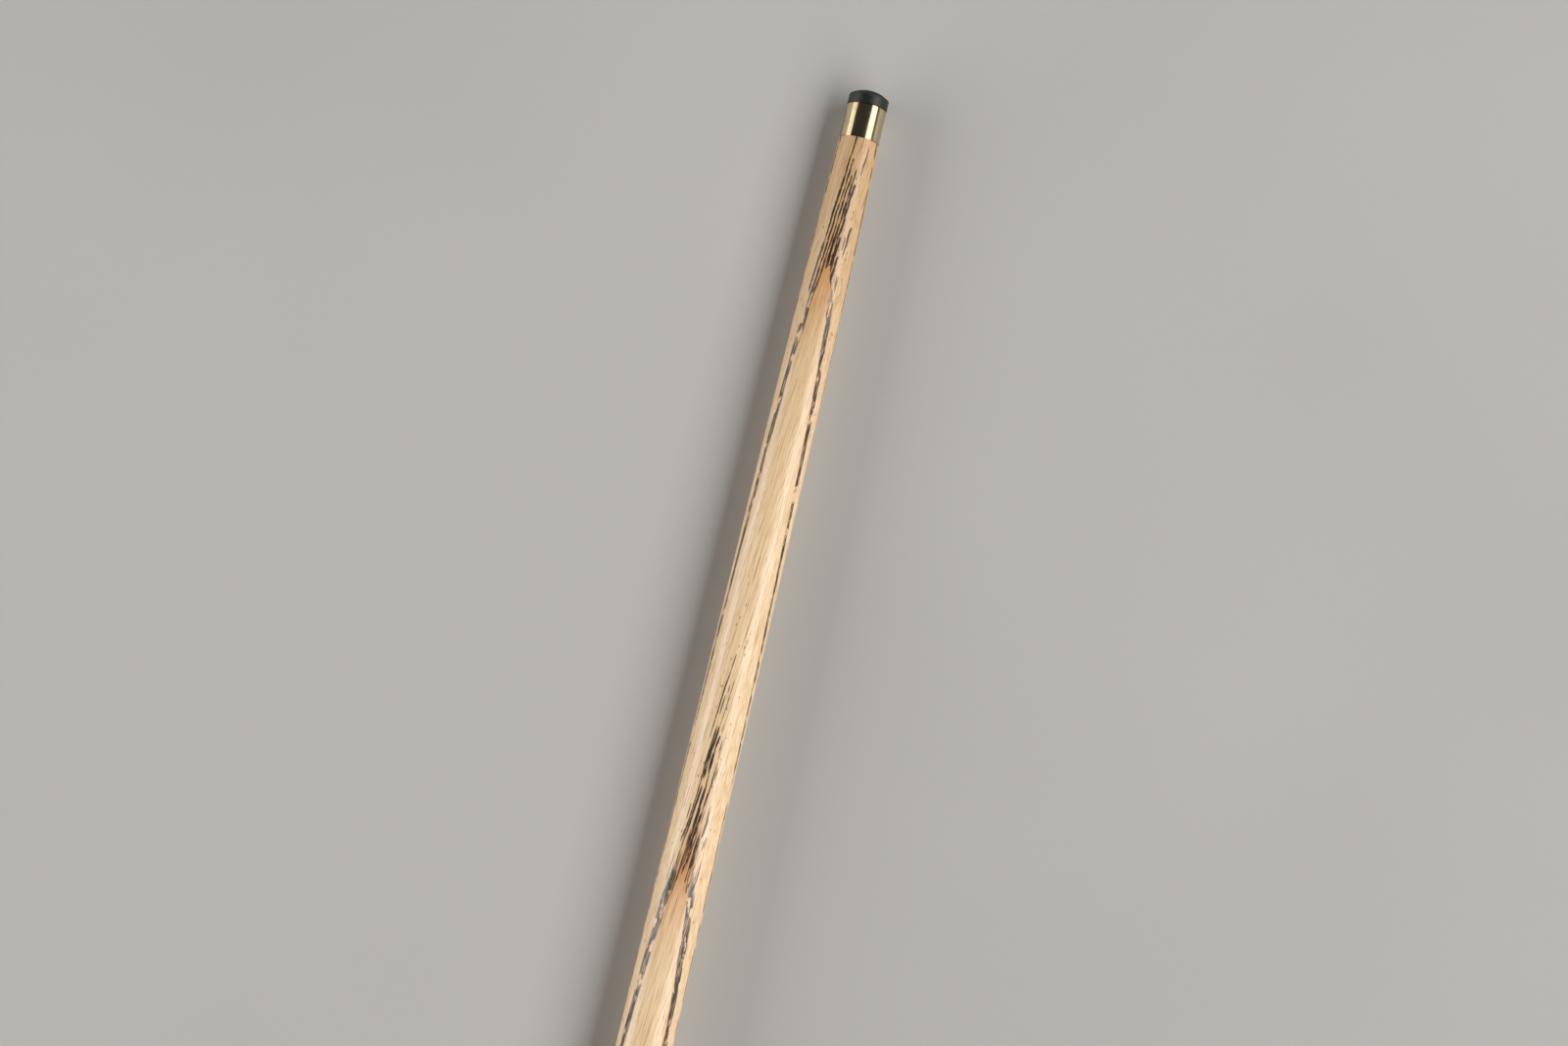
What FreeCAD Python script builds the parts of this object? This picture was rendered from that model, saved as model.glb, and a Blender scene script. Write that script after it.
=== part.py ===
import FreeCAD, Part
import math
import os
import Sketcher

# A three-quarter-jointed snooker cue: a leather-tipped ash shaft that screws into a spliced butt.
# Millimetres. +X runs along the cue from the butt to the tip, +Z is up, and the origin is at the
# mouth of the extension socket in the butt end.

doc = FreeCAD.newDocument("snooker_cue")
Vector = FreeCAD.Vector
Rotation = FreeCAD.Rotation

# ---------------------------------------------------------------- driving dimensions
DIMENSIONS = (
    # stations along the cue
    ("bumper_face", -2.0, "end face of the rubber bumper"),
    ("socket_face", -0.5, "end face of the extension socket, before its countersink"),
    ("butt_start", 11.0, "butt end of the butt's wood"),
    ("weight_start", 60.0, "butt end of the weight rod"),
    ("butt_end", 412.0, "joint end of the butt's wood"),
    ("pin_shoulder", 418.0, "face of the joint pin's collar"),
    ("socket_shoulder", 418.8, "face of the joint socket's collar"),
    ("shaft_start", 424.8, "joint end of the shaft's wood"),
    ("ferrule_start", 1445.4, "open end of the ferrule"),
    ("ferrule_end", 1453.7, "face of the ferrule under the tip"),
    # tip and ferrule
    ("tip_radius", 4.75, "tip and ferrule, a 9.5 mm cue"),
    ("tip_height", 4.1, "ferrule face to the crown of the tip"),
    ("crown_radius", 8.0, "dome of the tip"),
    ("ferrule_length", 8.3, "whole ferrule"),
    ("ferrule_depth", 6.3, "blind bore of the ferrule"),
    ("tenon_socket", 3.8, "bore radius of the ferrule"),
    ("tenon_radius", 3.75, "shaft tenon in the ferrule"),
    ("tenon_length", 6.2, "shaft tenon in the ferrule"),
    # shaft
    ("shaft_length", 1020.6, "wood between the joint collar and the ferrule"),
    ("flare_start", 920.6, "where the even taper ends and the shaft draws in to the ferrule"),
    ("flare_radius", 5.739, "shaft radius there"),
    ("flare_near", 970.6, "curve handle on the taper's side"),
    ("flare_near_radius", 5.474, "radius of that handle"),
    ("flare_far", 998.6, "curve handle on the ferrule's side"),
    ("flare_far_radius", 5.339, "radius of that handle"),
    # joint
    ("joint_radius", 10.68, "collars, and the wood on both sides"),
    ("collar_length", 6.0, "each brass collar"),
    ("washer_radius", 10.6, "fibre washer between the collars"),
    ("washer_bore", 5.3, "fibre washer bore"),
    ("washer_thickness", 0.8, "fibre washer"),
    ("pin_radius", 5.0, "joint pin thread, over its crests"),
    ("pin_length", 24.0, "joint pin beyond its collar"),
    ("pin_nose", 2.0, "length of the pin's tapered nose"),
    ("pin_nose_radius", 3.9, "end of the pin's nose"),
    ("tang_radius", 4.95, "tang glued into the butt"),
    ("tang_length", 28.0, "tang glued into the butt"),
    ("socket_bore", 5.06, "bore of the joint socket"),
    ("socket_depth", 25.5, "depth of the joint socket from its face"),
    ("insert_radius", 7.5, "barrel of the joint socket in the shaft"),
    ("insert_length", 21.5, "barrel of the joint socket in the shaft"),
    # butt blank
    ("butt_length", 401.0, "wood of the butt"),
    ("butt_radius", 14.5, "butt end"),
    ("swell_near", 129.0, "curve handle on the butt's side"),
    ("swell_near_radius", 14.35, "radius of that handle"),
    ("swell_far", 259.0, "curve handle on the joint's side"),
    ("swell_far_radius", 11.65, "radius of that handle"),
    # splices: distances of their sloping planes from the axis, at the butt end and at the joint
    ("core_near", 7.84, "ash core, butt end"),
    ("core_far", 11.30, "ash core, joint end"),
    ("veneer_near", 10.40, "underside of the veneers, butt end"),
    ("veneer_far", 13.98, "underside of the veneers, joint end"),
    ("accent_near", 11.20, "underside of the outer splices, butt end"),
    ("accent_far", 14.78, "underside of the outer splices, joint end"),
    ("flat_near", 12.20, "badge flat, butt end"),
    ("flat_far", 20.30, "badge flat's plane, carried on to the joint end"),
    ("blank_reach", 18.0, "clear of the blank all round"),
    # butt fittings
    ("bumper_length", 10.0, "rubber bumper"),
    ("bumper_radius", 15.4, "rubber bumper, a little proud of the wood"),
    ("bumper_foot", 15.0, "flat of the bumper that the cue lies on, below the axis"),
    ("bumper_hole", 6.1, "hole of the bumper"),
    ("bumper_round", 2.2, "outer edge of the bumper"),
    ("bumper_lip", 0.8, "inner edge of the bumper"),
    ("nose_radius", 6.0, "nose of the extension socket in the bumper"),
    ("nose_length", 8.5, "nose of the extension socket"),
    ("flange_radius", 14.45, "flange of the extension socket"),
    ("flange_length", 3.0, "flange of the extension socket"),
    ("barrel_radius", 6.45, "barrel of the extension socket"),
    ("barrel_length", 34.0, "barrel of the extension socket"),
    ("thread_radius", 4.5, "thread of the extension socket"),
    ("thread_length", 28.0, "thread of the extension socket"),
    ("mouth_radius", 5.0, "countersink of the extension socket"),
    ("mouth_depth", 0.5, "countersink of the extension socket"),
    ("weight_radius", 6.0, "weight rod"),
    ("weight_length", 90.0, "weight rod"),
    ("badge_offset", 30.0, "butt end of the wood to the badge's middle"),
    ("badge_length", 38.0, "badge plate, over its round ends"),
    ("badge_width", 9.0, "badge plate"),
    ("badge_thickness", 0.9, "badge plate"),
    ("badge_proud", 0.1, "badge plate above the flat"),
    # small values
    ("edge_break", 0.12, "edges of the brass parts"),
    ("glue_gap", 0.05, "glue film round inserted parts"),
)

sheet = doc.addObject("Spreadsheet::Sheet", "dims")
size = {}
for row, (alias, value, note) in enumerate(DIMENSIONS, start=1):
    sheet.set(f"A{row}", note)
    sheet.set(f"B{row}", str(value))
    sheet.setAlias(f"B{row}", alias)
    size[alias] = value
doc.recompute()


def formula(terms):
    """The expression for a sum of aliases; an alias with a leading minus is taken away."""
    text = ""
    for term in terms:
        text += " - dims." + term[1:] if term[0] == "-" else " + dims." + term
    return text[3:] if text.startswith(" + ") else text.strip()


def number(terms):
    """The value of the same sum."""
    return sum(-size[term[1:]] if term[0] == "-" else size[term] for term in terms)


def bind(thing, path, *terms):
    thing.setExpression(path, formula(terms))


def lay_along_cue(thing, *station):
    """Turns a primitive's own Z axis onto +X and puts its foot at a station of the cue."""
    thing.Placement = FreeCAD.Placement(Vector(0, 0, 0), Rotation(Vector(0, 1, 0), 90))
    bind(thing, "Placement.Base.x", *station)


def rod(name, station, radius, length):
    """A plain cylinder along the cue."""
    made = doc.addObject("Part::Cylinder", name)
    bind(made, "Radius", *radius)
    bind(made, "Height", *length)
    lay_along_cue(made, *station)
    return made


def boolean(kind, name, base, tool):
    made = doc.addObject("Part::" + kind, name)
    made.Base = base
    made.Tool = tool
    return made


# ---------------------------------------------------------------- turned pieces
def own_datum(body, role):
    """One of the body's own origin planes or axes."""
    return next(part for part in body.Origin.OriginFeatures if part.Role == role)


def pin_point(sketch, geometry, point, place):
    """Fixes one sketch point at (x terms, y terms) from the sketch's origin."""
    for kind, axis, terms in (("DistanceX", -2, place[0]), ("DistanceY", -1, place[1])):
        if not terms:
            sketch.addConstraint(Sketcher.Constraint("PointOnObject", geometry, point, axis))
            continue
        value = number(terms)
        index = sketch.addConstraint(Sketcher.Constraint(kind, -1, 1, geometry, point, value))
        sketch.setExpression(f"Constraints[{index}]", formula(terms))


def spot(place):
    return Vector(number(place[0]), number(place[1]), 0)


def turned(name, station, corners, curves=None):
    """A body turned about the cue's axis from a closed outline of (x, radius) corners.

    curves gives, for the corner that an edge starts at, the two handles of its cubic curve.
    """
    body = doc.addObject("PartDesign::Body", name)
    sketch = body.newObject("Sketcher::SketchObject", name + "_profile")
    sketch.AttachmentSupport = [(own_datum(body, "XZ_Plane"), "")]
    sketch.MapMode = "FlatFace"
    edges = []
    for index, corner in enumerate(corners):
        following = corners[(index + 1) % len(corners)]
        if curves and index in curves:
            near, far = curves[index]
            spline = Part.BSplineCurve()
            poles = [spot(place) for place in (corner, near, far, following)]
            spline.buildFromPolesMultsKnots(poles, [4, 4], [0, 1], False, 3)
            edge = sketch.addGeometry(spline, False)
            sketch.exposeInternalGeometry(edge)
            pin_point(sketch, edge + 2, 3, near)
            pin_point(sketch, edge + 3, 3, far)
        else:
            edge = sketch.addGeometry(Part.LineSegment(spot(corner), spot(following)), False)
        edges.append(edge)
    for index, edge in enumerate(edges):
        before = edges[index - 1]
        sketch.addConstraint(Sketcher.Constraint("Coincident", before, 2, edge, 1))
        pin_point(sketch, edge, 1, corners[index])
    doc.recompute()
    spin = body.newObject("PartDesign::Revolution", name + "_turning")
    spin.Profile = sketch
    spin.ReferenceAxis = (sketch, ["H_Axis"])
    spin.Angle = 360
    bind(body, "Placement.Base.x", *station)
    doc.recompute()
    return body


AXIS = ()

crown = doc.addObject("Part::Sphere", "tip_crown")
bind(crown, "Radius", "crown_radius")
bind(crown, "Placement.Base.x", "ferrule_end", "tip_height", "-crown_radius")
leather = rod("tip_leather", ("ferrule_end",), ("tip_radius",), ("tip_height",))
cue_tip = boolean("Common", "cue_tip", leather, crown)

ferrule = turned("ferrule", ("ferrule_start",), (
    (AXIS, ("tenon_socket",)),
    (AXIS, ("tip_radius", "-edge_break")),
    (("edge_break",), ("tip_radius",)),
    (("ferrule_length", "-edge_break"), ("tip_radius",)),
    (("ferrule_length",), ("tip_radius", "-edge_break")),
    (("ferrule_length",), AXIS),
    (("ferrule_depth",), AXIS),
    (("ferrule_depth",), ("tenon_socket",)),
))

shaft = turned("shaft", ("shaft_start",), (
    (AXIS, ("insert_radius", "glue_gap")),
    (AXIS, ("joint_radius",)),
    (("flare_start",), ("flare_radius",)),
    (("shaft_length",), ("tip_radius",)),
    (("shaft_length",), ("tenon_radius",)),
    (("shaft_length", "tenon_length"), ("tenon_radius",)),
    (("shaft_length", "tenon_length"), AXIS),
    (("insert_length", "glue_gap"), AXIS),
    (("insert_length", "glue_gap"), ("insert_radius", "glue_gap")),
), {2: ((("flare_near",), ("flare_near_radius",)), (("flare_far",), ("flare_far_radius",)))})

joint_socket = turned("joint_socket", ("socket_shoulder",), (
    (AXIS, ("socket_bore",)),
    (AXIS, ("joint_radius", "-edge_break")),
    (("edge_break",), ("joint_radius",)),
    (("collar_length",), ("joint_radius",)),
    (("collar_length",), ("insert_radius",)),
    (("collar_length", "insert_length"), ("insert_radius",)),
    (("collar_length", "insert_length"), AXIS),
    (("socket_depth",), AXIS),
    (("socket_depth",), ("socket_bore",)),
))

joint_pin = turned("joint_pin", ("butt_end", "-tang_length"), (
    (AXIS, AXIS),
    (AXIS, ("tang_radius",)),
    (("tang_length",), ("tang_radius",)),
    (("tang_length",), ("joint_radius",)),
    (("tang_length", "collar_length", "-edge_break"), ("joint_radius",)),
    (("tang_length", "collar_length"), ("joint_radius", "-edge_break")),
    (("tang_length", "collar_length"), ("pin_radius",)),
    (("tang_length", "collar_length", "pin_length", "-pin_nose"), ("pin_radius",)),
    (("tang_length", "collar_length", "pin_length"), ("pin_nose_radius",)),
    (("tang_length", "collar_length", "pin_length"), AXIS),
))

washer_disc = rod("washer_disc", ("pin_shoulder",), ("washer_radius",), ("washer_thickness",))
washer_hole = rod("washer_hole", ("pin_shoulder",), ("washer_bore",), ("washer_thickness",))
joint_washer = boolean("Cut", "joint_washer", washer_disc, washer_hole)

weight_rod = rod("weight_rod", ("weight_start",), ("weight_radius",), ("weight_length",))

# ---------------------------------------------------------------- spliced butt
butt_blank = turned("butt_blank", ("butt_start",), (
    (AXIS, AXIS),
    (AXIS, ("butt_radius",)),
    (("butt_length",), ("joint_radius",)),
    (("butt_length",), AXIS),
), {1: ((("swell_near",), ("swell_near_radius",)), (("swell_far",), ("swell_far_radius",)))})

# The blank is turned as one quarter and patterned, so that a seam runs under every splice's point.
quarter_turning = butt_blank.Tip
quarter_turning.Angle = 90
quarter_turning.Refine = False
quarters = butt_blank.newObject("PartDesign::PolarPattern", "butt_blank_quarters")
quarters.Originals = [quarter_turning]
quarters.Axis = (own_datum(butt_blank, "X_Axis"), [""])
quarters.Angle = 360
quarters.Occurrences = 4
quarters.Refine = False
butt_blank.Tip = quarters
doc.recompute()


def wedge(name, low, high, width, roll):
    """A sloping slab beside the cue, rolled about its axis.

    low and high are how far the slab starts and ends from the axis and width is its half
    width, each as (alias at the butt end, alias at the joint end); low may be a negative alias.
    """
    made = doc.addObject("Part::Wedge", name)
    made.Ymin = 0
    bind(made, "Ymax", "butt_length")
    for prefix, end in (("", 0), ("2", 1)):
        made.setExpression(f"X{prefix}min", "-dims." + width[end])
        bind(made, f"X{prefix}max", width[end])
        bind(made, f"Z{prefix}min", low[end])
        bind(made, f"Z{prefix}max", high[end])
    quarter = Rotation(Vector(0, 0, 1), -90)
    made.Placement = FreeCAD.Placement(Vector(0, 0, 0), Rotation(Vector(1, 0, 0), roll) * quarter)
    bind(made, "Placement.Base.x", "butt_start")
    return made


CORE = ("core_near", "core_far")
UNDER_VENEER = ("veneer_near", "veneer_far")
UNDER_ACCENT = ("accent_near", "accent_far")
FLAT = ("flat_near", "flat_far")
OUTSIDE = ("blank_reach", "blank_reach")
MINUS_CORE = ("-core_near", "-core_far")

# The first pair of splices is laid above and below, and the second pair is cut across it.
SIDES = (("top", 0), ("bottom", 180), ("left", -90), ("right", 90))
splices = []
for side, roll in SIDES:
    first_pair = side in ("top", "bottom")
    ebony_width = CORE if first_pair else UNDER_VENEER
    accent_high = FLAT if side == "top" else OUTSIDE
    layers = (
        ("ebony_splice_", CORE, UNDER_VENEER, ebony_width),
        ("veneer_", UNDER_VENEER, UNDER_ACCENT, OUTSIDE),
        ("accent_splice_", UNDER_ACCENT, accent_high, OUTSIDE),
    )
    for prefix, low, high, width in layers:
        slab = wedge(prefix + side + "_slab", low, high, width, roll)
        splices.append(boolean("Common", prefix + side, butt_blank, slab))

core_slab = wedge("core_slab", MINUS_CORE, CORE, CORE, 0)
core_solid = boolean("Common", "core_solid", butt_blank, core_slab)
bores = doc.addObject("Part::MultiFuse", "core_bores")
bores.Shapes = [
    rod("barrel_bore", ("butt_start",), ("barrel_radius", "glue_gap"), ("barrel_length", "glue_gap")),
    rod("weight_bore", ("butt_start",), ("weight_radius", "glue_gap"),
        ("weight_start", "weight_length", "-butt_start")),
    rod("tang_bore", ("butt_end", "-tang_length", "-glue_gap"), ("tang_radius", "glue_gap"),
        ("tang_length", "glue_gap")),
]
butt_core = boolean("Cut", "butt_core", core_solid, bores)
doc.recompute()


# ---------------------------------------------------------------- butt fittings
def flat_angle():
    rise = size["flat_far"] - size["flat_near"]
    return math.degrees(math.atan2(rise, size["butt_length"]))


def flat_cutter(name):
    """Everything above the badge flat, carried on past the butt end."""
    block = doc.addObject("Part::Box", name)
    bind(block, "Length", "butt_length")
    block.setExpression("Width", "2 * dims.blank_reach")
    bind(block, "Height", "blank_reach")
    slope = "(dims.flat_far - dims.flat_near) / dims.butt_length"
    tilt = Rotation(Vector(0, 1, 0), -flat_angle())
    block.Placement = FreeCAD.Placement(Vector(0, 0, 0), tilt)
    block.setExpression("Placement.Base.x", "dims.butt_start - dims.blank_reach")
    block.setExpression("Placement.Base.y", "-dims.blank_reach")
    block.setExpression("Placement.Base.z", "dims.flat_near - dims.blank_reach * " + slope)
    return block


above_flat = flat_cutter("above_flat")

socket_turning = turned("socket_turning", ("socket_face",), (
    (AXIS, ("mouth_radius",)),
    (AXIS, ("nose_radius",)),
    (("nose_length",), ("nose_radius",)),
    (("nose_length",), ("flange_radius",)),
    (("nose_length", "flange_length"), ("flange_radius",)),
    (("nose_length", "flange_length"), ("barrel_radius",)),
    (("nose_length", "flange_length", "barrel_length"), ("barrel_radius",)),
    (("nose_length", "flange_length", "barrel_length"), AXIS),
    (("mouth_depth", "thread_length"), AXIS),
    (("mouth_depth", "thread_length"), ("thread_radius",)),
    (("mouth_depth",), ("thread_radius",)),
))
extension_socket = boolean("Cut", "extension_socket", socket_turning, above_flat)

bumper_ring = turned("bumper_ring", ("bumper_face",), (
    (AXIS, ("bumper_hole",)),
    (AXIS, ("bumper_radius",)),
    (("bumper_length",), ("bumper_radius",)),
    (("bumper_length",), ("bumper_hole",)),
))


def front_rims(body):
    """Names of the round edges of a turned body's end face, the smallest first."""
    rims = []
    for index, edge in enumerate(body.Shape.Edges, start=1):
        at_face = abs(edge.BoundBox.XMax - body.Placement.Base.x) < 1e-6
        if at_face and hasattr(edge.Curve, "Radius"):
            rims.append((edge.Curve.Radius, f"Edge{index}"))
    return [name for radius, name in sorted(rims)]


def round_rim(body, name, which, radius):
    """Rounds one rim of the end face: 0 is the innermost and -1 the outermost."""
    base = body.Tip
    rim = front_rims(body)[which]
    fillet = body.newObject("PartDesign::Fillet", name)
    fillet.Base = (base, [rim])
    bind(fillet, "Radius", radius)
    doc.recompute()


round_rim(bumper_ring, "bumper_rounding", -1, "bumper_round")
round_rim(bumper_ring, "bumper_easing", 0, "bumper_lip")
below_foot = doc.addObject("Part::Box", "below_foot")
below_foot.setExpression("Length", "3 * dims.bumper_length")
below_foot.setExpression("Width", "2 * dims.blank_reach")
bind(below_foot, "Height", "bumper_length")
below_foot.setExpression("Placement.Base.x", "dims.bumper_face - dims.bumper_length")
below_foot.setExpression("Placement.Base.y", "-dims.blank_reach")
below_foot.setExpression("Placement.Base.z", "-dims.bumper_foot - dims.bumper_length")
footed_ring = boolean("Cut", "bumper_footed", bumper_ring, below_foot)
bumper = boolean("Cut", "bumper", footed_ring, above_flat)


def badge(name, margin):
    """A plate with round ends, or its recess, lying on the badge flat."""
    body = doc.addObject("PartDesign::Body", name)
    sketch = body.newObject("Sketcher::SketchObject", name + "_outline")
    sketch.AttachmentSupport = [(own_datum(body, "XY_Plane"), "")]
    sketch.MapMode = "FlatFace"
    quarter_turn = math.pi / 2
    end_radius = size["badge_width"] / 2
    reach = size["badge_length"] / 2 - end_radius
    up, ahead = Vector(0, end_radius, 0), Vector(reach, 0, 0)
    middle, away = Vector(0, 0, 0), Vector(0, 0, 1)
    lower = sketch.addGeometry(Part.LineSegment(middle - ahead - up, ahead - up), False)
    front = Part.Circle(ahead, away, end_radius)
    right = sketch.addGeometry(Part.ArcOfCircle(front, -quarter_turn, quarter_turn), False)
    upper = sketch.addGeometry(Part.LineSegment(ahead + up, up - ahead), False)
    rear = Part.Circle(middle - ahead, away, end_radius)
    left = sketch.addGeometry(Part.ArcOfCircle(rear, quarter_turn, 3 * quarter_turn), False)
    chain = (lower, right, upper, left)
    for index, edge in enumerate(chain):
        sketch.addConstraint(Sketcher.Constraint("Tangent", chain[index - 1], 2, edge, 1))
    sketch.addConstraint(Sketcher.Constraint("Symmetric", right, 3, left, 3, -1, 1))
    sketch.addConstraint(Sketcher.Constraint("PointOnObject", right, 3, -1))
    radius = sketch.addConstraint(Sketcher.Constraint("Radius", right, end_radius))
    sketch.setExpression(f"Constraints[{radius}]", f"dims.badge_width / 2 + {margin}")
    span = sketch.addConstraint(Sketcher.Constraint("DistanceX", left, 3, right, 3, 2 * reach))
    sketch.setExpression(f"Constraints[{span}]", "dims.badge_length - dims.badge_width")
    pad = body.newObject("PartDesign::Pad", name + "_thickness")
    pad.Profile = sketch
    bind(pad, "Length", "badge_thickness")
    slope = "(dims.flat_far - dims.flat_near) / dims.butt_length"
    height = f"dims.flat_near + dims.badge_offset * {slope}"
    sunk = "dims.badge_thickness - dims.badge_proud"
    body.Placement = FreeCAD.Placement(middle, Rotation(Vector(0, 1, 0), -flat_angle()))
    body.setExpression("Placement.Base.x", "dims.butt_start + dims.badge_offset")
    body.setExpression("Placement.Base.z", f"{height} - ({sunk})")
    doc.recompute()
    return body


badge_plate = badge("badge_plate", "0 * dims.glue_gap")
badge_recess = badge("badge_recess", "dims.glue_gap")
accent_top = doc.getObject("accent_splice_top")
accent_top.Label = "accent_splice_top_blank"
splices.remove(accent_top)
recessed = boolean("Cut", "accent_splice_top_recessed", accent_top, badge_recess)
recessed.Label = "accent_splice_top"
splices.append(recessed)
doc.recompute()

# ---------------------------------------------------------------- checks and files
SUB_PARTS = [
    cue_tip, ferrule, shaft, joint_socket, joint_washer, joint_pin, butt_core, weight_rod,
    extension_socket, bumper, badge_plate,
] + splices

for thing in doc.Objects:
    if "Invalid" in thing.State or "Error" in thing.State:
        raise RuntimeError(f"{thing.Label} did not compute: {thing.State}")
for part in SUB_PARTS:
    if part.Shape.isNull() or not part.Shape.isValid() or len(part.Shape.Solids) != 1:
        raise RuntimeError(f"{part.Label} is not one valid solid")

os.makedirs("parts", exist_ok=True)
for part in sorted(SUB_PARTS, key=lambda piece: piece.Label):
    box = part.Shape.BoundBox
    part.Shape.exportStep(f"parts/{part.Label}.step")
    print(f"{part.Label:24s} x {box.XMin:8.2f} to {box.XMax:8.2f}  volume {part.Shape.Volume:10.1f}")
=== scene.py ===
import math

import bmesh
import bpy
from mathutils import Matrix, Vector, noise


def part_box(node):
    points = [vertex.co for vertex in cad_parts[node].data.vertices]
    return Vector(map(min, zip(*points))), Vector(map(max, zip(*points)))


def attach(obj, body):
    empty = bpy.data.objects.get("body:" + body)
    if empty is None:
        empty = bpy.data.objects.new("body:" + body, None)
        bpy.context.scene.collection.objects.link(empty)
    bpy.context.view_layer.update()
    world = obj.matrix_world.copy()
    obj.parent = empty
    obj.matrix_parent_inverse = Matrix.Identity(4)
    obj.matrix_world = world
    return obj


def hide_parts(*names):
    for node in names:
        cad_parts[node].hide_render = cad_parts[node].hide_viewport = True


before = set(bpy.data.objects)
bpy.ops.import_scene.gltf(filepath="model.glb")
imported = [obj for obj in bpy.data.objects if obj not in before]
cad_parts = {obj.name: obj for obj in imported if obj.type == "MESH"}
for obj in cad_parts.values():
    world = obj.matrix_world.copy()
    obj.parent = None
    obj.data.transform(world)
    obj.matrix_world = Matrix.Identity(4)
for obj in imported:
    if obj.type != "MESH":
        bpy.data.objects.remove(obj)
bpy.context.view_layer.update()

# A three-quarter-jointed snooker cue. Lengths are in millimetres until a mesh is made, +X runs from
# the butt to the tip, and the stations come from the boxes of the frame's nodes.
MM = 0.001


def span(node):
    """First and last station of a node along the cue."""
    low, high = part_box(node)
    return low.x / MM, high.x / MM


def reach(node):
    """Largest radius of a turned node."""
    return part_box(node)[1].y / MM


BUMPER_FACE, BUMPER_BACK = span("bumper")
SOCKET_FACE, SOCKET_END = span("extension_socket")
BUTT_START, BUTT_END = span("butt_core")
PIN_START, PIN_END = span("joint_pin")
WASHER_START, WASHER_END = span("joint_washer")
INSERT_START, INSERT_END = span("joint_socket")
SHAFT_START, TENON_END = span("shaft")
FERRULE_START, FERRULE_END = span("ferrule")
TIP_END = span("cue_tip")[1]
TIP_RADIUS = reach("ferrule")
JOINT_RADIUS = reach("joint_socket")
BUTT_RADIUS = reach("accent_splice_left")
BUMPER_RADIUS = reach("bumper")
BUMPER_FOOT = -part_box("bumper")[0].z / MM

# ---------------------------------------------------------------- node graphs


class Graph:
    """A material's node tree, built from short calls that return sockets."""

    def __init__(self, name):
        self.material = bpy.data.materials.new(name)
        self.material.use_nodes = True
        self.tree = self.material.node_tree
        self.tree.nodes.clear()
        self.output = self.tree.nodes.new("ShaderNodeOutputMaterial")

    def put(self, socket, value):
        """Links a socket to another one, or sets its value."""
        if isinstance(value, bpy.types.NodeSocket):
            self.tree.links.new(value, socket)
        elif value is not None:
            if isinstance(value, tuple) and len(value) == 3 and socket.type == "RGBA":
                value = (*value, 1.0)
            socket.default_value = value

    def node(self, kind, inputs=None, **settings):
        made = self.tree.nodes.new("ShaderNode" + kind)
        for key, value in settings.items():
            setattr(made, key, value)
        for key, value in (inputs or {}).items():
            self.put(made.inputs[key], value)
        return made

    def math(self, operation, first, second=0.0):
        made = self.node("Math", operation=operation)
        for socket, value in zip(made.inputs, (first, second)):
            self.put(socket, value)
        return made.outputs[0]

    def add(self, first, second):
        return self.math("ADD", first, second)

    def sub(self, first, second):
        return self.math("SUBTRACT", first, second)

    def mul(self, first, second):
        return self.math("MULTIPLY", first, second)

    def fade(self, value, start, end, low=0.0, high=1.0):
        """Goes smoothly from low to high as value goes from start to end."""
        made = self.node("MapRange", {"Value": value, "From Min": start, "From Max": end,
                                      "To Min": low, "To Max": high},
                         interpolation_type="SMOOTHSTEP")
        return made.outputs[0]

    def mix(self, factor, first, second, blend="MIX"):
        """Colour mix; a factor of 0 gives the first colour."""
        made = self.node("Mix", data_type="RGBA", blend_type=blend)
        self.put(made.inputs[0], factor)
        self.put(made.inputs[6], first)
        self.put(made.inputs[7], second)
        return made.outputs[2]

    def ramp(self, value, stops):
        """A grey ramp through (place, level) stops."""
        made = self.node("ValToRGB", {"Fac": value})
        band = made.color_ramp
        band.elements[0].position, band.elements[1].position = stops[0][0], stops[-1][0]
        for place, level in stops[1:-1]:
            band.elements.new(place)
        for element, (place, level) in zip(band.elements, stops):
            element.color = (level, level, level, 1.0)
        return made.outputs[0]

    def vector(self, x, y, z):
        made = self.node("CombineXYZ")
        for socket, value in zip(made.inputs, (x, y, z)):
            self.put(socket, value)
        return made.outputs[0]

    def place(self):
        """The point's x, y and z on the piece, in millimetres."""
        point = self.node("TexCoord").outputs["Object"]
        scaled = self.node("VectorMath", operation="SCALE")
        self.put(scaled.inputs[0], point)
        scaled.inputs["Scale"].default_value = 1 / MM
        parts = self.node("SeparateXYZ", {0: scaled.outputs[0]})
        return parts.outputs[0], parts.outputs[1], parts.outputs[2]

    def noise(self, vector, detail=2.0, rough=0.5):
        return self.node("TexNoise", {"Vector": vector, "Scale": 1.0, "Detail": detail,
                                      "Roughness": rough}).outputs[0]

    def cells(self, vector):
        """Distance to the nearest cell's middle, and that cell's three random numbers."""
        made = self.node("TexVoronoi", {"Vector": vector, "Scale": 1.0})
        colour = self.node("SeparateColor", {0: made.outputs["Color"]})
        return made.outputs["Distance"], colour.outputs[0], colour.outputs[1], colour.outputs[2]

    def bump(self, height, distance, strength):
        return self.node("Bump", {"Height": height, "Distance": distance * MM,
                                  "Strength": strength}).outputs[0]

    def finish(self, **inputs):
        """Feeds the shader's inputs, named with _ for a space, and returns the material."""
        shader = self.node("BsdfPrincipled")
        for key, value in inputs.items():
            self.put(shader.inputs[key.replace("_", " ")], value)
        self.tree.links.new(shader.outputs[0], self.output.inputs[0])
        return self.material


def tone(red, green, blue):
    """A screen colour from 0 to 255 as the renderer's linear colour."""
    def linear(level):
        level /= 255
        return level / 12.92 if level <= 0.04045 else ((level + 0.055) / 1.055) ** 2.4
    return linear(red), linear(green), linear(blue)


# ---------------------------------------------------------------- materials

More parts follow.
